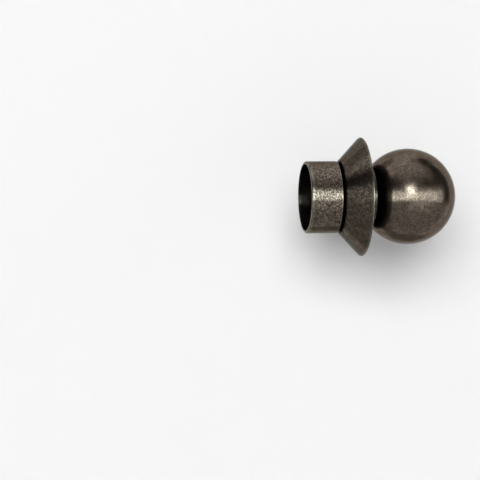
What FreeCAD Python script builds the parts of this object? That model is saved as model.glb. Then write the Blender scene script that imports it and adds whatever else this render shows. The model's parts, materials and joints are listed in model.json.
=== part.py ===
import FreeCAD, Part

import math
import os

import Sketcher

# Curtain pole finial. X runs along its axis from the socket to the ball, Z is up, and the
# origin is the centre of the socket's mouth. Lengths are in millimetres.

DOC = FreeCAD.newDocument("finial")
SHEET = DOC.addObject("Spreadsheet::Sheet", "sizes")

# In a sketch's constraints, -1 and -2 are its horizontal and vertical axes, and 1, 2 and 3 are
# the start, the end and the centre of a line or a circle. Two places nearer than this are the
# same place:
SAME_PLACE = 1e-6

DRIVING_SIZES = (
    # the size that the socket fits, its clearance, and the collar round it
    ("pole_dia", 35.0),
    ("socket_clearance", 0.25),
    ("collar_wall", 1.65),
    ("socket_depth", 13.0),
    ("collar_floor", 4.0),
    ("mouth_round", 1.1),
    ("collar_end_round", 0.5),
    # the flare: how far its small end lies inside the collar, and its rim outside
    ("groove_step", 1.6),
    ("flare_overhang", 12.6),
    ("flare_length", 13.7),
    ("rim_land", 0.3),
    ("rim_round", 0.12),
    # the neck turned on the flare's back face, dished to seat the ball
    ("neck_dia", 32.2),
    ("neck_length", 5.36),
    ("neck_lip", 0.4),
    # the hollow ball and the threaded insert brazed in it
    ("ball_dia", 51.8),
    ("ball_wall", 1.2),
    ("insert_spigot_dia", 12.0),
    ("insert_flange_dia", 20.0),
    ("insert_length", 11.0),
    # the M6 countersunk screw that holds the pieces together
    ("screw_dia", 6.0),
    ("screw_length", 25.0),
    ("screw_head_dia", 11.3),
    ("screw_hole_clearance", 0.3),
    ("screw_socket_flats", 4.0),
    ("screw_socket_depth", 2.2),
    ("screw_tip_chamfer", 0.6),
    # the M3 grub screw in the collar's back wall, backed off so that the bore is clear
    ("grub_dia", 3.0),
    ("grub_length", 2.0),
    ("grub_from_mouth", 6.5),
    ("grub_tip_gap", 0.05),
    ("grub_tip_chamfer", 0.3),
    ("grub_socket_flats", 1.5),
    ("grub_socket_depth", 1.1),
)


def fill_sheet():
    """One row for each driving size, named by its alias."""
    for row, (alias, value) in enumerate(DRIVING_SIZES, 1):
        SHEET.set("A%d" % row, alias)
        SHEET.set("B%d" % row, str(value))
        SHEET.setAlias("B%d" % row, alias)
    DOC.recompute()


# Radii and places along X worked out from the driving sizes, as expressions of the sheet
BORE_R = "(sizes.pole_dia / 2 + sizes.socket_clearance)"
COLLAR_R = "(%s + sizes.collar_wall)" % BORE_R
COLLAR_END = "(sizes.socket_depth + sizes.collar_floor)"
SCREW_R = "(sizes.screw_dia / 2)"
SCREW_HOLE_R = "(%s + sizes.screw_hole_clearance)" % SCREW_R
HEAD_R = "(sizes.screw_head_dia / 2)"
FLARE_SMALL_R = "(%s - sizes.groove_step)" % COLLAR_R
RIM_R = "(%s + sizes.flare_overhang)" % COLLAR_R
FLARE_FACE = "(%s + sizes.flare_length)" % COLLAR_END
NECK_R = "(sizes.neck_dia / 2)"
NECK_END = "(%s + sizes.neck_length)" % FLARE_FACE
BALL_R = "(sizes.ball_dia / 2)"
BALL_INNER_R = "(%s - sizes.ball_wall)" % BALL_R
BALL_CENTRE = "(%s + sqrt(%s ^ 2 - (%s - sizes.neck_lip) ^ 2))" % (NECK_END, BALL_R, NECK_R)
BALL_START = "(%s - %s)" % (BALL_CENTRE, BALL_R)
SPIGOT_R = "(sizes.insert_spigot_dia / 2)"
SPIGOT_FACE = "(%s - sqrt(%s ^ 2 - %s ^ 2))" % (BALL_CENTRE, BALL_R, SPIGOT_R)
INSERT_END = "(%s + sizes.insert_length)" % BALL_START


def value(expression):
    """The number that an expression of the sheet gives now."""
    return float(SHEET.evalExpression(expression))


def origin_plane(body, role):
    """One of the body's own origin planes, such as XZ_Plane."""
    return next(item for item in body.Origin.OriginFeatures if item.Role == role)


def new_body(label):
    """An empty body, labelled with the name of the piece."""
    body = DOC.addObject("PartDesign::Body", label)
    body.Label = label
    return body


def new_sketch(body, name, plane):
    """A sketch on one of the body's origin planes."""
    sketch = body.newObject("Sketcher::SketchObject", name)
    sketch.AttachmentSupport = (origin_plane(body, plane), [""])
    sketch.MapMode = "FlatFace"
    return sketch


def pin_point(sketch, geometry, end, name, place):
    """Hold one end of a line at a place given by two expressions."""
    kinds = (("DistanceX", "across", -2), ("DistanceY", "up", -1))
    for (kind, suffix, axis), expression in zip(kinds, place):
        number = value(expression)
        if abs(number) < SAME_PLACE:
            sketch.addConstraint(Sketcher.Constraint("PointOnObject", geometry, end, axis))
            continue
        index = sketch.addConstraint(Sketcher.Constraint(kind, -1, 1, geometry, end, number))
        sketch.renameConstraint(index, name + "_" + suffix)
        sketch.setExpression("Constraints." + name + "_" + suffix, expression)


def turned_piece(body, name, corners):
    """Turn a closed outline about the X axis; corners are (name, along, radius)."""
    sketch = new_sketch(body, name + "_outline", "XZ_Plane")
    points = [FreeCAD.Vector(value(along), value(radius), 0) for _, along, radius in corners]
    for start, end in zip(points, points[1:] + points[:1]):
        sketch.addGeometry(Part.LineSegment(start, end))
    for line in range(len(corners)):
        following = (line + 1) % len(corners)
        sketch.addConstraint(Sketcher.Constraint("Coincident", line, 2, following, 1))
    for line, (corner, along, radius) in enumerate(corners):
        pin_point(sketch, line, 1, corner, (along, radius))
    turning = body.newObject("PartDesign::Revolution", name)
    turning.Profile = sketch
    turning.ReferenceAxis = (sketch, ["H_Axis"])
    turning.Angle = 360
    DOC.recompute()
    return turning


def ring_edges(feature, along, radius):
    """The circular edges of a turned piece at this place along the axis and this radius."""
    names = []
    for number, edge in enumerate(feature.Shape.Edges, 1):
        if not isinstance(edge.Curve, Part.Circle):
            continue
        off_place = abs(edge.Curve.Center.x - value(along))
        off_size = abs(edge.Curve.Radius - value(radius))
        if off_place < SAME_PLACE and off_size < SAME_PLACE:
            names.append("Edge%d" % number)
    return names


def round_edges(body, name, base, radius, rings):
    """Round the circular edges of a turned piece, each given as (along, radius)."""
    edges = [edge for along, ring_r in rings for edge in ring_edges(base, along, ring_r)]
    fillet = body.newObject("PartDesign::Fillet", name)
    fillet.Base = (base, edges)
    fillet.setExpression("Radius", radius)
    DOC.recompute()
    return fillet


def hexagon(sketch, flats):
    """A regular hexagon about the sketch's origin, measured across its flats."""
    corner_r = value(flats) / math.sqrt(3)
    ring = sketch.addGeometry(Part.Circle(FreeCAD.Vector(), FreeCAD.Vector(0, 0, 1), corner_r), True)
    sketch.addConstraint(Sketcher.Constraint("Coincident", ring, 3, -1, 1))
    corners = []
    for turn in range(6):
        angle = math.radians(60 * turn)
        corners.append(FreeCAD.Vector(corner_r * math.cos(angle), corner_r * math.sin(angle), 0))
    sides = [sketch.addGeometry(Part.LineSegment(start, end))
             for start, end in zip(corners, corners[1:] + corners[:1])]
    for side, following in zip(sides, sides[1:] + sides[:1]):
        sketch.addConstraint(Sketcher.Constraint("Coincident", side, 2, following, 1))
        sketch.addConstraint(Sketcher.Constraint("PointOnObject", side, 1, ring))
    for side in sides[1:]:
        sketch.addConstraint(Sketcher.Constraint("Equal", sides[0], side))
    sketch.addConstraint(Sketcher.Constraint("PointOnObject", sides[0], 1, -1))
    size = sketch.addConstraint(Sketcher.Constraint("Diameter", ring, 2 * corner_r))
    sketch.renameConstraint(size, "across_corners")
    sketch.setExpression("Constraints.across_corners", "2 * %s / sqrt(3)" % flats)


def cut_pocket(body, name, sketch, depth=None, reverse=False):
    """Cut the sketch into the body, to a depth or right through, and see that it cut."""
    before = body.Shape.Volume
    pocket = body.newObject("PartDesign::Pocket", name)
    pocket.Profile = sketch
    pocket.Reversed = reverse
    if depth is None:
        pocket.Type = "ThroughAll"
    else:
        pocket.setExpression("Length", depth)
    DOC.recompute()
    if not body.Shape.Volume < before:
        raise RuntimeError(name + " cut nothing")
    return pocket


def make_collar():
    """The cup: a bored socket, a floor with a countersunk hole, and a grub screw hole."""
    body = new_body("collar")
    sink_end = "(sizes.socket_depth + %s - %s)" % (HEAD_R, SCREW_HOLE_R)
    cup = turned_piece(body, "cup", (
        ("bore_mouth", "0", BORE_R),
        ("outer_mouth", "0", COLLAR_R),
        ("outer_end", COLLAR_END, COLLAR_R),
        ("hole_end", COLLAR_END, SCREW_HOLE_R),
        ("sink_end", sink_end, SCREW_HOLE_R),
        ("sink_mouth", "sizes.socket_depth", HEAD_R),
        ("bore_end", "sizes.socket_depth", BORE_R),
    ))
    lip = round_edges(body, "mouth_lip", cup, "sizes.mouth_round", [("0", COLLAR_R)])
    round_edges(body, "end_round", lip, "sizes.collar_end_round", [(COLLAR_END, COLLAR_R)])
    sketch = new_sketch(body, "grub_hole_outline", "XZ_Plane")
    centre = FreeCAD.Vector(value("sizes.grub_from_mouth"), 0, 0)
    ring = sketch.addGeometry(Part.Circle(centre, FreeCAD.Vector(0, 0, 1), value("sizes.grub_dia / 2")))
    size = sketch.addConstraint(Sketcher.Constraint("Diameter", ring, value("sizes.grub_dia")))
    sketch.renameConstraint(size, "hole_dia")
    sketch.setExpression("Constraints.hole_dia", "sizes.grub_dia")
    pin_point(sketch, ring, 3, "hole_centre", ("sizes.grub_from_mouth", "0"))
    cut_pocket(body, "grub_hole", sketch)
    return body


def make_flare():
    """The cone, its thin rim, and the neck on its back face with a seat for the ball."""
    body = new_body("flare")
    rim_front = "(%s - sizes.rim_land)" % FLARE_FACE
    cone = turned_piece(body, "cone", (
        ("hole_front", COLLAR_END, SCREW_HOLE_R),
        ("small_end", COLLAR_END, FLARE_SMALL_R),
        ("rim_front", rim_front, RIM_R),
        ("rim_back", FLARE_FACE, RIM_R),
        ("neck_root", FLARE_FACE, NECK_R),
        ("neck_end", NECK_END, NECK_R),
        ("hole_back", NECK_END, SCREW_HOLE_R),
    ))
    round_edges(body, "rim_edge", cone, "sizes.rim_round", [(rim_front, RIM_R), (FLARE_FACE, RIM_R)])
    seat = body.newObject("PartDesign::SubtractiveSphere", "ball_seat")
    lay_poles_along_x(seat)
    seat.setExpression("Radius", BALL_R)
    seat.setExpression("Placement.Base.x", BALL_CENTRE)
    DOC.recompute()
    return body


def lay_poles_along_x(piece):
    """Turn a primitive so that its own Z axis points along X."""
    piece.Placement = FreeCAD.Placement(FreeCAD.Vector(), FreeCAD.Rotation(FreeCAD.Vector(0, 1, 0), 90))


def sphere(name, radius):
    """A sphere about the ball's centre."""
    solid = DOC.addObject("Part::Sphere", name)
    lay_poles_along_x(solid)
    solid.setExpression("Radius", radius)
    solid.setExpression("Placement.Base.x", BALL_CENTRE)
    return solid


def rod(name, radius, start, end):
    """A round rod on the X axis, from start to end."""
    solid = DOC.addObject("Part::Cylinder", name)
    lay_poles_along_x(solid)
    solid.setExpression("Radius", radius)
    solid.setExpression("Height", "%s - %s" % (end, start))
    solid.setExpression("Placement.Base.x", start)
    return solid


def combine(kind, name, base, tool):
    """A boolean of two solids."""
    result = DOC.addObject("Part::" + kind, name)
    result.Base = base
    result.Tool = tool
    return result


def make_ball():
    """The hollow ball, with a hole at its pole for the insert's spigot."""
    shell = combine("Cut", "ball_shell", sphere("ball_outside", BALL_R),
                    sphere("ball_inside", BALL_INNER_R))
    hole = rod("spigot_hole", SPIGOT_R, BALL_START, BALL_CENTRE)
    ball = combine("Cut", "ball", shell, hole)
    ball.Label = "ball"
    return ball


def make_ball_insert():
    """The threaded insert: a flange on the ball's inner wall and a spigot in its hole."""
    flange = combine("Common", "insert_flange", sphere("insert_seat", BALL_INNER_R),
                     rod("flange_rod", "sizes.insert_flange_dia / 2", SPIGOT_FACE, INSERT_END))
    spigot = rod("spigot_rod", SPIGOT_R, SPIGOT_FACE, INSERT_END)
    blank = combine("Fuse", "insert_blank", flange, spigot)
    tapping = rod("insert_thread", SCREW_R, SPIGOT_FACE, INSERT_END)
    insert = combine("Cut", "ball_insert", blank, tapping)
    insert.Label = "ball_insert"
    return insert


def make_fixing_screw():
    """The countersunk screw, its head flush with the socket's floor."""
    body = new_body("fixing_screw")
    tip = "(sizes.socket_depth + sizes.screw_length)"
    turned_piece(body, "shank", (
        ("head_centre", "sizes.socket_depth", "0"),
        ("head_edge", "sizes.socket_depth", HEAD_R),
        ("head_root", "sizes.socket_depth + %s - %s" % (HEAD_R, SCREW_R), SCREW_R),
        ("tip_shoulder", tip + " - sizes.screw_tip_chamfer", SCREW_R),
        ("tip_edge", tip, SCREW_R + " - sizes.screw_tip_chamfer"),
        ("tip_centre", tip, "0"),
    ))
    sketch = new_sketch(body, "key_socket_outline", "YZ_Plane")
    sketch.setExpression("AttachmentOffset.Base.z", "sizes.socket_depth")
    hexagon(sketch, "sizes.screw_socket_flats")
    cut_pocket(body, "key_socket", sketch, "sizes.screw_socket_depth", reverse=True)
    return body


def make_grub_screw():
    """The grub screw, turned about its own X axis and then laid along Y at the collar's back."""
    body = new_body("grub_screw")
    turned_piece(body, "grub_shank", (
        ("tip_centre", "0", "0"),
        ("tip_edge", "0", "sizes.grub_dia / 2 - sizes.grub_tip_chamfer"),
        ("tip_shoulder", "sizes.grub_tip_chamfer", "sizes.grub_dia / 2"),
        ("outer_edge", "sizes.grub_length", "sizes.grub_dia / 2"),
        ("outer_centre", "sizes.grub_length", "0"),
    ))
    sketch = new_sketch(body, "grub_key_outline", "YZ_Plane")
    sketch.setExpression("AttachmentOffset.Base.z", "sizes.grub_length")
    hexagon(sketch, "sizes.grub_socket_flats")
    cut_pocket(body, "grub_key_socket", sketch, "sizes.grub_socket_depth")
    body.Placement = FreeCAD.Placement(FreeCAD.Vector(), FreeCAD.Rotation(FreeCAD.Vector(0, 0, 1), 90))
    body.setExpression("Placement.Base.x", "sizes.grub_from_mouth")
    body.setExpression("Placement.Base.y", "%s + sizes.grub_tip_gap" % BORE_R)
    return body


def check_model(pieces):
    """Stop before anything is written if a feature failed or a piece isn't one sound solid."""
    for item in DOC.Objects:
        if "Invalid" in item.State or "Error" in item.State:
            raise RuntimeError("%s failed: %s" % (item.Name, item.State))
    for piece in pieces:
        if piece.Shape.isNull() or not piece.Shape.isValid() or len(piece.Shape.Solids) != 1:
            raise RuntimeError(piece.Label + " isn't one sound solid")


fill_sheet()
PIECES = [make_collar(), make_flare(), make_ball(), make_ball_insert(),
          make_fixing_screw(), make_grub_screw()]
DOC.recompute()
check_model(PIECES)
os.makedirs("parts", exist_ok=True)
for piece in PIECES:
    piece.Shape.exportStep("parts/%s.step" % piece.Label)
    print("%-13s %9.1f cubic mm" % (piece.Label, piece.Shape.Volume))
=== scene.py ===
import json
import math

import bmesh
import bpy
from mathutils import Matrix, Vector


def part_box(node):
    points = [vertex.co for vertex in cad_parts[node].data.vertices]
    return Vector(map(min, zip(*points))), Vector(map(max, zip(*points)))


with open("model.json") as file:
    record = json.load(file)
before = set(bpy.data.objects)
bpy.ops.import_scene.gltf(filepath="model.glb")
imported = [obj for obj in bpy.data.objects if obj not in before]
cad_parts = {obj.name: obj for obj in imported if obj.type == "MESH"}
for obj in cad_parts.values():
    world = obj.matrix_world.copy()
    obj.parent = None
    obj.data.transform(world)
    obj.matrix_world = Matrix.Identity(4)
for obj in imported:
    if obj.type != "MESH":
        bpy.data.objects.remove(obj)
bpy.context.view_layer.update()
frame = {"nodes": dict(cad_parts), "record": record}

# Curtain pole finial: a socketed collar, a flared cone with a neck, and a hollow ball, turned
# about the X axis. X runs from the socket's mouth to the ball and Z is up. Lengths are in metres.

MM = 0.001
NODES = frame["nodes"]

# Sizes of the turned pieces. The flare's own points give the back edge of its rim, which is the
# furthest place at full radius, and the radius of the neck behind it.
COLLAR_END, _, COLLAR_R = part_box("collar")[1]
RIM_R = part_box("flare")[1].y
RIM_ROUND = 0.2 * MM
BEHIND_RIM = 0.5 * MM
FLARE_POINTS = [vertex.co.copy() for vertex in NODES["flare"].data.vertices]
RIM_X = max(point.x for point in FLARE_POINTS if point.yz.length > RIM_R - RIM_ROUND)
NECK_R = max(point.yz.length for point in FLARE_POINTS if point.x > RIM_X + BEHIND_RIM)
BALL_END, _, BALL_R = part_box("ball")[1]
BALL_CENTRE = Vector((BALL_END - BALL_R, 0, 0))
SOCKET = next(mount for mount in frame["record"]["mounts"] if mount["name"] == "pole_socket")
BORE_R = SOCKET["dims"]["r_mm"] * MM
BORE_DEPTH = SOCKET["dims"]["length_mm"] * MM


def linear(hex_colour):
    """A written sRGB colour such as 7f7a72, as the linear RGBA that a shader takes."""
    def channel(start):
        value = int(hex_colour[start:start + 2], 16) / 255
        return value / 12.92 if value <= 0.04045 else ((value + 0.055) / 1.055) ** 2.4
    return channel(0), channel(2), channel(4), 1.0


def add_node(tree, kind, inputs=None, **settings):
    """Add a node with its settings. Each input takes a value, or the output that feeds it."""
    made = tree.nodes.new(kind)
    for name, setting in settings.items():
        setattr(made, name, setting)
    for socket, source in (inputs or {}).items():
        if isinstance(source, bpy.types.NodeSocket):
            tree.links.new(source, made.inputs[socket])
        else:
            made.inputs[socket].default_value = source
    return made


def new_material(name):
    """An empty material and its node tree."""
    material = bpy.data.materials.new(name)
    material.use_nodes = True
    material.node_tree.nodes.clear()
    return material, material.node_tree


# Finishes

# Turning lines lie about 0.1 mm apart, the flecks of black left in the plating's grain are under
# 0.2 mm across, and frosting and oxide are finer still. All of them are drawn coarser than that,
# because at this size of picture they would blur away.
FLECK_MM = 0.7
FLECK_DETAIL = 3.0
FROST_MM = 0.5
RING_MM = 0.45
OXIDE_MM = 0.3
LINE_DRAWN_OUT = 14.0

# Noise reads about 0.5 on the whole. Each pair holds the readings at which a pattern starts and
# at which it is full, and the closer they are, the sharper it is.
PATCHES = (0.36, 0.64)
HUES = (0.4, 0.6)
FLECKS = (0.44, 0.58)
# Edges painted lighter, as wear and a painted highlight, are broken up by the grain here.
RUBBED_AND_HIGHLIT_GRAIN = (0.3, 0.5)
FROST = (0.3, 0.7)
RINGS = (0.3, 0.65)

# In turns: it lays a highlight across the lines that the tangent follows.
QUARTER_TURN = 0.25

# The places of the colour sockets on a Mix node.
MIX_FIRST, MIX_SECOND, MIX_RESULT = 6, 7, 2


def place_on_part(tree):
    """The shaded point: its coordinates, its distance along the axis and its distance from it."""
    point = add_node(tree, "ShaderNodeTexCoord").outputs["Object"]
    split = add_node(tree, "ShaderNodeSeparateXYZ", {"Vector": point})
    across = add_node(tree, "ShaderNodeVectorMath", {0: point, 1: (0, 1, 1)}, operation="MULTIPLY")
    radius = add_node(tree, "ShaderNodeVectorMath", {0: across.outputs[0]}, operation="LENGTH")
    return point, split.outputs["X"], radius.outputs["Value"]


def fade(tree, reading, start, stop, low=0.0, high=1.0):
    """A share that goes smoothly from low to high while a reading goes from start to stop."""
    return add_node(tree, "ShaderNodeMapRange",
                    {"Value": reading, "From Min": start, "From Max": stop,
                     "To Min": low, "To Max": high},
                    interpolation_type="SMOOTHSTEP").outputs["Result"]


def near(tree, reading, edge, from_mm, to_mm, low=0.0, high=1.0):
    """The same between two distances past an edge, which are negative before it."""
    return fade(tree, reading, edge + from_mm * MM, edge + to_mm * MM, low, high)


def both(tree, first, second):
    """The share of the surface where two shares hold together."""
    return add_node(tree, "ShaderNodeMath", {0: first, 1: second}, operation="MULTIPLY").outputs[0]


def either(tree, first, second):
    """The larger of two shares."""
    return add_node(tree, "ShaderNodeMath", {0: first, 1: second}, operation="MAXIMUM").outputs[0]


def blended(tree, share, first, second):
    """A colour that goes from the first to the second with the share."""
    return add_node(tree, "ShaderNodeMix", {0: share, MIX_FIRST: first, MIX_SECOND: second},
                    data_type="RGBA").outputs[MIX_RESULT]


def turned_grain(tree, point, size_mm, drawn_out=1.0, detail=2.0):
    """Specks of about this size, drawn out round the axis as a turning or brushing mark is."""
    along_turn = add_node(tree, "ShaderNodeVectorMath",
                          {0: point, 1: (1, 1 / drawn_out, 1 / drawn_out)}, operation="MULTIPLY")
    grain = add_node(tree, "ShaderNodeTexNoise",
                     {"Vector": along_turn.outputs[0], "Scale": 1 / (size_mm * MM), "Detail": detail})
    return grain.outputs[0]


def patinated_steel(tree, point, look, wear_and_highlight=None, patina_and_shade=None):
    """Steel that was plated, blackened and wiped back. The black stays in soft clouds, specks and
    fine flecks. Edges that are given are painted lighter, partly as wear and partly as a painted
    highlight. Places that are given are painted black, partly as patina in hollows and partly as
    painted shade. Turning leaves lines round the axis, which draw a highlight out along it.

    A look gives the sizes of its patterns and the depths of its pits and lines in mm, how far the
    patterns are drawn out round the axis, the shares of specks against clouds and of flecks, the
    roughness of wiped and of black metal, how far a highlight is drawn out, and the colours, where
    edge_on tints the metal at a glancing angle."""
    clouds = turned_grain(tree, point, look["cloud_mm"], look["drawn_out"])
    grain = turned_grain(tree, point, look["speck_mm"], look["drawn_out"])
    cleared = add_node(tree, "ShaderNodeMath",
                       {0: fade(tree, clouds, *PATCHES, high=1 - look["speckled"]),
                        1: fade(tree, grain, *PATCHES, high=look["speckled"])},
                       operation="ADD").outputs[0]
    hue = fade(tree, turned_grain(tree, point, look["hue_mm"], detail=1.0), *HUES)
    wiped = blended(tree, hue, linear(look["brown"]), linear(look["grey"]))
    colour = blended(tree, cleared, linear(look["dark"]), wiped)
    flecks = turned_grain(tree, point, FLECK_MM, look["drawn_out"], FLECK_DETAIL)
    flecked = fade(tree, flecks, *FLECKS, high=look["flecked"])
    colour = blended(tree, flecked, colour, linear(look["dark_fleck"]))
    # Edges that are given are painted lighter: partly wear, partly a painted highlight.
    if wear_and_highlight is not None:
        rubbed_and_highlit = both(tree, wear_and_highlight, fade(tree, grain, *RUBBED_AND_HIGHLIT_GRAIN))
        colour = blended(tree, rubbed_and_highlit, colour, linear(look["wear_and_highlight"]))
    # Places that are given are painted black: the socket's patina, and painted shade in the groove and
    # round the neck.
    if patina_and_shade is not None:
        colour = blended(tree, patina_and_shade, colour, linear(look["black"]))

    smooth, rough = look["roughness"]
    roughness = add_node(tree, "ShaderNodeMapRange",
                         {"Value": cleared, "To Min": rough, "To Max": smooth}).outputs["Result"]
    pits = add_node(tree, "ShaderNodeBump", {"Height": grain, "Distance": look["pit_mm"] * MM})
    turning = turned_grain(tree, point, look["line_mm"], LINE_DRAWN_OUT)
    relief = add_node(tree, "ShaderNodeBump", {"Height": turning, "Distance": look["turning_mm"] * MM,
                                               "Normal": pits.outputs[0]})
    round_the_axis = add_node(tree, "ShaderNodeTangent", direction_type="RADIAL", axis="X")
    metal = add_node(tree, "ShaderNodeBsdfPrincipled",
                     {"Base Color": colour, "Metallic": 1.0, "Roughness": roughness,
                      "Specular Tint": linear(look["edge_on"]), "Normal": relief.outputs[0],
                      "Anisotropic": look["lengthwise_glow"], "Anisotropic Rotation": QUARTER_TURN,
                      "Tangent": round_the_axis.outputs[0]})
    add_node(tree, "ShaderNodeOutputMaterial", {"Surface": metal.outputs[0]})


def collar_finish():
    """The collar is turned bar, blackened coarsely, so it shows the most specks. Its mouth and end
    are painted lighter, partly as wear and partly as a painted highlight. Its end face is painted
    black as the shade in the groove, and its socket keeps about half its black patina."""
    material, tree = new_material("turned_steel_coarse_patina")
    look = {"cloud_mm": 1.7, "speck_mm": 0.55, "speckled": 0.65, "drawn_out": 1.2, "hue_mm": 5.0,
            "line_mm": 0.35, "pit_mm": 0.010, "turning_mm": 0.002, "roughness": (0.16, 0.27),
            "lengthwise_glow": 0.8, "dark": "50473f", "brown": "95877a", "grey": "948b7f",
            "wear_and_highlight": "9c9486", "black": "1c1a17", "flecked": 0.72, "dark_fleck": "241f1a",
            "edge_on": "b8b6b2", "rubbed_and_highlit": 0.6, "black_in_socket": 0.55}
    point, along, radius = place_on_part(tree)
    # The mouth and end edges are painted lighter: partly wear, partly a painted highlight.
    mouth = near(tree, along, 0, from_mm=1.8, to_mm=0.7, high=look["rubbed_and_highlit"])
    end = near(tree, along, COLLAR_END, from_mm=-0.9, to_mm=-0.4, high=look["rubbed_and_highlit"])
    # The end face is painted black as the shade in the groove, and the socket keeps black patina.
    end_face = near(tree, along, COLLAR_END, from_mm=-0.25, to_mm=-0.05)
    bore = near(tree, radius, BORE_R, from_mm=0.15, to_mm=0.05, high=look["black_in_socket"])
    socket = both(tree, bore, near(tree, along, BORE_DEPTH, from_mm=0.3, to_mm=0.1))
    patinated_steel(tree, point, look, wear_and_highlight=either(tree, mouth, end),
                    patina_and_shade=either(tree, end_face, socket))
    return material


def flare_finish():
    """The flare is a turned cone with an even grey patina. Its thin rim is painted lighter, partly as
    wear and partly as a painted highlight. Its small end, which sinks into the groove behind the
    collar, and its back face round the neck are painted black as shade, and the neck itself less."""
    material, tree = new_material("turned_steel_fine_patina")
    look = {"cloud_mm": 2.0, "speck_mm": 0.6, "speckled": 0.6, "drawn_out": 1.3, "hue_mm": 9.0,
            "line_mm": 0.3, "pit_mm": 0.006, "turning_mm": 0.002, "roughness": (0.18, 0.26),
            "lengthwise_glow": 0.4, "dark": "494039", "brown": "8c7d72", "grey": "888174",
            "wear_and_highlight": "a29b8f", "black": "090807", "flecked": 0.6, "dark_fleck": "241f1a",
            "edge_on": "b0b2b1", "rubbed_and_highlit": 0.55, "shade_on_neck": 0.4}
    point, along, radius = place_on_part(tree)
    # The thin rim is painted lighter: partly wear, partly a painted highlight.
    rim = near(tree, radius, RIM_R, from_mm=-1.2, to_mm=-0.1, high=look["rubbed_and_highlit"])
    # The groove and the back face round the neck are painted black as shade, and the neck less so.
    groove = both(tree, near(tree, radius, COLLAR_R, from_mm=0.7, to_mm=-0.1),
                  near(tree, along, RIM_X, from_mm=-2, to_mm=-4))
    back_face = both(tree, near(tree, along, RIM_X, from_mm=-0.25, to_mm=-0.05),
                     near(tree, radius, RIM_R, from_mm=-4, to_mm=-8.5))
    less_on_neck = near(tree, radius, NECK_R, from_mm=0.8, to_mm=0.1, low=1.0, high=look["shade_on_neck"])
    patinated_steel(tree, point, look, wear_and_highlight=rim,
                    patina_and_shade=either(tree, groove, both(tree, back_face, less_on_neck)))
    return material


def ball_finish():
    """The ball is spun sheet, polished before it was blackened, so it is smooth and browner."""
    material, tree = new_material("spun_steel_brown_patina")
    look = {"cloud_mm": 2.8, "speck_mm": 0.8, "speckled": 0.5, "drawn_out": 1.0, "hue_mm": 8.0,
            "line_mm": 0.5, "pit_mm": 0.003, "turning_mm": 0.001, "roughness": (0.16, 0.21),
            "lengthwise_glow": 0.0, "dark": "5c5249", "brown": "84766a", "grey": "81756a",
            "flecked": 0.52, "dark_fleck": "302a24", "edge_on": "c4c2be"}
    point, _, _ = place_on_part(tree)
    patinated_steel(tree, point, look)
    return material


def zinc_plated_steel():
    """Zinc plating on the screw and the insert: pale, slightly blue and finely frosted, over the
    rings that turning left on the faces."""
    material, tree = new_material("zinc_plated_steel")
    point, _, radius = place_on_part(tree)
    frost = turned_grain(tree, point, FROST_MM)
    rings = add_node(tree, "ShaderNodeTexNoise", {"W": radius, "Scale": 1 / (RING_MM * MM)},
                     noise_dimensions="1D").outputs[0]
    frosting = add_node(tree, "ShaderNodeBump", {"Height": fade(tree, frost, *FROST),
                                                 "Distance": 0.01 * MM})
    relief = add_node(tree, "ShaderNodeBump", {"Height": rings, "Distance": 0.12 * MM,
                                               "Normal": frosting.outputs[0]})
    clean = add_node(tree, "ShaderNodeMath", {0: fade(tree, rings, *RINGS, high=0.6),
                                              1: fade(tree, frost, *FROST, high=0.4)},
                     operation="ADD").outputs[0]
    metal = add_node(tree, "ShaderNodeBsdfPrincipled",
                     {"Base Color": blended(tree, clean, linear("5f6264"), linear("c9cbc6")),
                      "Metallic": 1.0, "Roughness": fade(tree, frost, *FROST, low=0.33, high=0.8),
                      "Normal": relief.outputs[0]})
    add_node(tree, "ShaderNodeOutputMaterial", {"Surface": metal.outputs[0]})
    return material


def blackened_steel():
    """Black oxide on the hardened grub screw: near black with a dull oily sheen."""
    material, tree = new_material("blackened_steel")
    point, _, _ = place_on_part(tree)
    oxide = turned_grain(tree, point, OXIDE_MM)
    relief = add_node(tree, "ShaderNodeBump", {"Height": oxide, "Distance": 0.006 * MM})
    metal = add_node(tree, "ShaderNodeBsdfPrincipled",
                     {"Base Color": blended(tree, oxide, linear("1b1a1a"), linear("393838")),
                      "Metallic": 1.0, "Roughness": 0.42, "Normal": relief.outputs[0]})
    add_node(tree, "ShaderNodeOutputMaterial", {"Surface": metal.outputs[0]})
    return material


def dress(node, material):
    """Give a CAD piece its finish."""
    for slot in NODES[node].material_slots:
        slot.material = material


# Studio

FLOOR_Z = -0.26
WALL_Y = 0.07
COVE_R = 0.08
COVE_STEPS = 24
STAGE_HALF = 4.0
STAGE_TOP = 1.5
CARD_STEPS = 20
SKY_STRENGTH = 0.2
PAPER = "f6f6f6"
# The floor paper is painted greyer than the wall paper, a painted shade.
SHADED_FLOOR_PAPER = "d8d8d8"
COOL_WHITE = "ecf6f6"
FLAG_GREY = "5a5855"


def stage_sheet(name, mesh, material):
    """A sheet in the studio, which isn't part of the finial."""
    data = bpy.data.meshes.new(name)
    mesh.to_mesh(data)
    mesh.free()
    data.materials.append(material)
    sheet = bpy.data.objects.new(name, data)
    bpy.context.scene.collection.objects.link(sheet)
    return sheet


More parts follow.
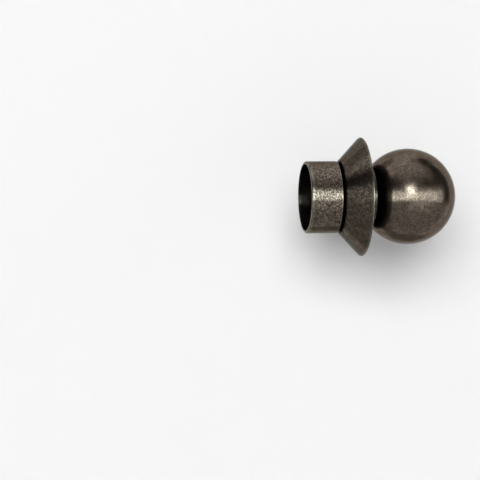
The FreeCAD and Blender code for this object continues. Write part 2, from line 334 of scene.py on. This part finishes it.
def studio_cove():
    """A pale floor that curves up into a wall behind the part, with a far wall at each end. The
    floor is painted greyer than the wall, a painted shade. From outside, the walls let the view
    through."""
    profile = [(-STAGE_HALF, FLOOR_Z)]
    for step in range(COVE_STEPS + 1):
        angle = math.pi / 2 * step / COVE_STEPS
        profile.append((WALL_Y - COVE_R + COVE_R * math.sin(angle),
                        FLOOR_Z + COVE_R - COVE_R * math.cos(angle)))
    profile.append((WALL_Y, STAGE_TOP))
    mesh = bmesh.new()
    left = [mesh.verts.new((-STAGE_HALF, y, z)) for y, z in profile]
    right = [mesh.verts.new((STAGE_HALF, y, z)) for y, z in profile]
    for low in range(len(profile) - 1):
        mesh.faces.new((left[low], right[low], right[low + 1], left[low + 1])).smooth = True
    left.append(mesh.verts.new((-STAGE_HALF, -STAGE_HALF, STAGE_TOP)))
    right.append(mesh.verts.new((STAGE_HALF, -STAGE_HALF, STAGE_TOP)))
    mesh.faces.new(left)
    mesh.faces.new(reversed(right))

    material, tree = new_material("studio_paper")
    point = add_node(tree, "ShaderNodeTexCoord").outputs["Object"]
    height = add_node(tree, "ShaderNodeSeparateXYZ", {"Vector": point}).outputs["Z"]
    # The paper is painted greyer from the cove's top down to the floor, a painted shade.
    lit = fade(tree, height, FLOOR_Z, FLOOR_Z + COVE_R)
    shade = blended(tree, lit, linear(SHADED_FLOOR_PAPER), linear(PAPER))
    paper = add_node(tree, "ShaderNodeBsdfDiffuse", {"Color": shade})
    clear = add_node(tree, "ShaderNodeBsdfTransparent")
    side = add_node(tree, "ShaderNodeNewGeometry").outputs["Backfacing"]
    shown = add_node(tree, "ShaderNodeMixShader", {0: side, 1: paper.outputs[0], 2: clear.outputs[0]})
    add_node(tree, "ShaderNodeOutputMaterial", {"Surface": shown.outputs[0]})
    stage_sheet("studio_cove", mesh, material)


def soft_sky():
    """Even light from all round, and a pale surround where the view or a reflection sees past
    the cove."""
    world = bpy.data.worlds.new("soft_sky")
    bpy.context.scene.world = world
    world.use_nodes = True
    tree = world.node_tree
    tree.nodes.clear()
    ray = add_node(tree, "ShaderNodeLightPath")
    seen = either(tree, ray.outputs["Is Camera Ray"], ray.outputs["Is Glossy Ray"])
    seen = either(tree, seen, ray.outputs["Is Transmission Ray"])
    light = add_node(tree, "ShaderNodeBackground", {"Strength": SKY_STRENGTH})
    surround = add_node(tree, "ShaderNodeBackground", {"Color": linear(PAPER), "Strength": 1.0})
    shown = add_node(tree, "ShaderNodeMixShader", {0: seen, 1: light.outputs[0], 2: surround.outputs[0]})
    add_node(tree, "ShaderNodeOutputWorld", {"Surface": shown.outputs[0]})


def round_the_ball(turn, rise, distance):
    """A place at this distance from the ball's centre, turned from its front to the right and
    raised, both in degrees."""
    turn, rise = math.radians(turn), math.radians(rise)
    level = distance * math.cos(rise)
    return BALL_CENTRE + Vector((level * math.sin(turn), -level * math.cos(turn),
                                 distance * math.sin(rise)))


def key_light(turn, rise, distance, width, height, watts):
    """The large soft lamp that lights the paper and casts the shadow. The metal shows the cards
    instead."""
    light = bpy.data.lights.new("key_light", "AREA")
    light.shape = "RECTANGLE"
    light.size = width
    light.size_y = height
    light.energy = watts
    lamp = bpy.data.objects.new("key_light", light)
    bpy.context.scene.collection.objects.link(lamp)
    lamp.location = round_the_ball(turn, rise, distance)
    lamp.rotation_euler = (BALL_CENTRE - lamp.location).to_track_quat("-Z", "Y").to_euler()
    lamp.visible_glossy = False


def thinning(place, edges, fades):
    """How solid a card is at this place: nothing at its edges, and whole once it is past its fades."""
    share = min(1, (place - edges[0]) / fades[0], (edges[1] - place) / fades[1])
    return share * share * (3 - 2 * share)


def reflection_card(name, turns, rises, fades, tone, strength, distance):
    """A card bent round the ball that only the metal's reflections see. It spans these turns from
    left to right and these rises from low to high. Its fades are the degrees over which its left,
    right, low and high edges thin out."""
    mesh = bmesh.new()
    cover = mesh.verts.layers.float.new("cover")
    rows = []
    for up in range(CARD_STEPS + 1):
        rise = rises[0] + (rises[1] - rises[0]) * up / CARD_STEPS
        rows.append([])
        for across in range(CARD_STEPS + 1):
            turn = turns[0] + (turns[1] - turns[0]) * across / CARD_STEPS
            corner = mesh.verts.new(round_the_ball(turn, rise, distance))
            corner[cover] = thinning(turn, turns, fades[:2]) * thinning(rise, rises, fades[2:])
            rows[-1].append(corner)
    for low, high in zip(rows, rows[1:]):
        for step in range(CARD_STEPS):
            mesh.faces.new((low[step], low[step + 1], high[step + 1], high[step]))

    material, tree = new_material(name + "_paper")
    solid = add_node(tree, "ShaderNodeAttribute", attribute_name="cover").outputs["Fac"]
    glow = add_node(tree, "ShaderNodeEmission", {"Color": linear(tone), "Strength": strength})
    clear = add_node(tree, "ShaderNodeBsdfTransparent")
    shown = add_node(tree, "ShaderNodeMixShader", {0: solid, 1: clear.outputs[0], 2: glow.outputs[0]})
    add_node(tree, "ShaderNodeOutputMaterial", {"Surface": shown.outputs[0]})
    card = stage_sheet(name, mesh, material)
    card.visible_camera = card.visible_diffuse = card.visible_shadow = False


def light_studio():
    """One soft key light, and the cards that the polished metal shows: a long bright strip at its
    own height with a lamp over the middle, a dark gap above it, dark flags past the ball's end,
    and grey cards at the left and behind."""
    key_light(turn=-13, rise=15, distance=4.4, width=2.8, height=2.12, watts=150)

    # Each card's turns, rises and fades in degrees, its tone, its strength and its distance.
    reflection_card("strip_card", (-66, 82), (-14, 12), (4, 6, 5, 6), COOL_WHITE, 2.0, 1.3)
    reflection_card("strip_middle_card", (-64, 76), (-12, 11), (4, 46, 5, 6), COOL_WHITE, 4.1, 1.25)
    reflection_card("round_lamp_card", (-21, 9), (-4, 29), (14, 14, 14, 16), COOL_WHITE, 16.0, 1.2)
    reflection_card("lamp_glow_card", (-34, 22), (8, 54), (24, 24, 8, 38), PAPER, 0.8, 1.22)
    reflection_card("under_strip_card", (-14, 58), (-50, -9), (14, 34, 34, 8), PAPER, 1.15, 0.36)
    reflection_card("under_lamp_gap_card", (-36, -14), (-28, -7), (10, 10, 10, 7), "8a8885", 1.0, 0.35)
    reflection_card("upper_gap_card", (-72, 84), (14, 70), (4, 12, 5, 46), "6f6c68", 1.0, 1.35)
    reflection_card("upper_left_gap_card", (-74, -30), (13, 50), (4, 26, 5, 26), "3c3a37", 1.0, 1.3)
    reflection_card("end_flag_card", (72, 102), (-16, 40), (10, 7, 12, 12), FLAG_GREY, 1.0, 0.16)
    reflection_card("high_flag_card", (56, 102), (12, 60), (16, 7, 10, 12), FLAG_GREY, 1.0, 0.165)
    reflection_card("top_flag_card", (40, 122), (46, 88), (40, 14, 12, 24), FLAG_GREY, 1.0, 0.17)
    reflection_card("left_grey_card", (-104, -68), (-66, 12), (4, 8, 14, 4), "9a9894", 1.0, 0.27)
    reflection_card("left_level_card", (-104, -68), (-10, 12), (4, 8, 10, 5), "c8c6c2", 1.0, 0.26)
    reflection_card("left_dark_card", (-104, -68), (8, 37), (4, 8, 7, 10), "1e1d1b", 1.0, 0.25)
    reflection_card("high_back_card", (-150, -92), (14, 74), (14, 10, 12, 14), "b4b2ae", 1.0, 0.15)
    reflection_card("low_back_card", (-150, -92), (-72, -14), (14, 10, 14, 12), "9c9a96", 1.0, 0.15)
    reflection_card("under_back_card", (-255, -105), (-86, -46), (24, 20, 4, 14), "a09e9a", 1.0, 0.1)


# Camera: level, a metre from the part, turned so that the socket's side comes nearer.
# The rim's centre lands on its place in the 480 pixel frame at the scale measured there.
FRAME_PX = 480
RIM_CENTRE_PX = Vector((360.6, 196.8))
PX_PER_M = 1851.4
CAMERA_DISTANCE = 1.0
SENSOR_MM = 36.0
CAMERA_TURN = math.radians(9.77)
CAMERA_ROLL = math.radians(0.8)


def place_camera():
    """The camera at the photograph's viewing angle."""
    right = Vector((math.cos(CAMERA_TURN), -math.sin(CAMERA_TURN), 0))
    forward = Vector((math.sin(CAMERA_TURN), math.cos(CAMERA_TURN), 0))
    up = Vector((0, 0, 1))
    across = right * math.cos(CAMERA_ROLL) - up * math.sin(CAMERA_ROLL)
    upward = up * math.cos(CAMERA_ROLL) + right * math.sin(CAMERA_ROLL)
    off_centre = (RIM_CENTRE_PX - Vector((FRAME_PX / 2, FRAME_PX / 2))) / PX_PER_M
    data = bpy.data.cameras.new("photo_camera")
    data.sensor_width = SENSOR_MM
    data.lens = SENSOR_MM * CAMERA_DISTANCE / (FRAME_PX / PX_PER_M)
    camera = bpy.data.objects.new("photo_camera", data)
    bpy.context.scene.collection.objects.link(camera)
    camera.location = (Vector((RIM_X, 0, 0)) - across * off_centre.x + upward * off_centre.y
                       - forward * CAMERA_DISTANCE)
    camera.rotation_euler = Matrix((across, upward, -forward)).transposed().to_euler()
    bpy.context.scene.camera = camera


dress("collar", collar_finish())
dress("flare", flare_finish())
dress("ball", ball_finish())
ZINC = zinc_plated_steel()
dress("ball_insert", ZINC)
dress("fixing_screw", ZINC)
dress("grub_screw", blackened_steel())
studio_cove()
soft_sky()
light_studio()
place_camera()
bpy.context.scene.view_settings.view_transform = "Standard"
